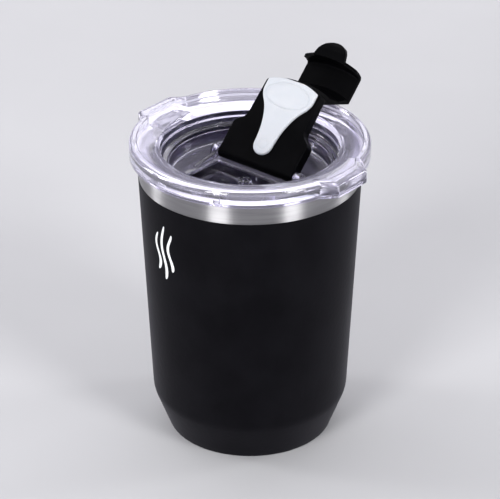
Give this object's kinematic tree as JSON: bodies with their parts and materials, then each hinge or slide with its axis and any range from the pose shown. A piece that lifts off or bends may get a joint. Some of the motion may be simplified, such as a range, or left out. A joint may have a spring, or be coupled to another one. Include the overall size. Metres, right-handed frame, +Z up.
{
  "type": "insulated travel mug",
  "caption": "Tapered vacuum-insulated tumbler with a clear plug-in lid, pull tabs, and a hinged black flip cap with a white silicone seal.",
  "frame": {"origin": "centre of the base face, on the mug's axis", "axes": "+Z up along the mug's axis, -Y towards the drinking side, +X along the cap's hinge"},
  "size_m": [0.0992, 0.1007, 0.1436],
  "materials": {
    "shell_steel": "brushed stainless steel",
    "black_powder_coat": "satin black powder coat",
    "liner_steel": "satin stainless steel",
    "solder": "dull solder",
    "getter_grey": "pressed grey powder",
    "cover_rubber": "matte black silicone",
    "clear_plastic": "clear injection-moulded plastic",
    "ring_silicone": "soft translucent grey silicone",
    "pin_steel": "polished stainless steel",
    "black_plastic": "satin black moulded plastic",
    "white_silicone": "soft white silicone"
  },
  "bodies": {
    "cup": {"outer_shell": "shell_steel", "black_coat": "black_powder_coat", "inner_liner": "liner_steel", "vacuum_base_plate": "shell_steel", "vacuum_seal_bead": "solder", "getter": "getter_grey", "base_cover": "cover_rubber"},
    "lid": {"lid_body": "clear_plastic", "lid_seal_ring": "ring_silicone", "hinge_pin": "pin_steel"},
    "flap": {"flap_shell": "black_plastic", "flap_seal": "white_silicone"}
  },
  "joints": [
    {"name": "lid_lift", "type": "slide", "parent": "cup", "child": "lid", "axis": [0, 0, 1], "range_m": [0, 0.03]},
    {"name": "flap_hinge", "type": "hinge", "parent": "lid", "child": "flap", "pos_m": [0, 0.0045, 0.1098], "axis": [1, 0, 0], "range_deg": [0, 135]}
  ]
}
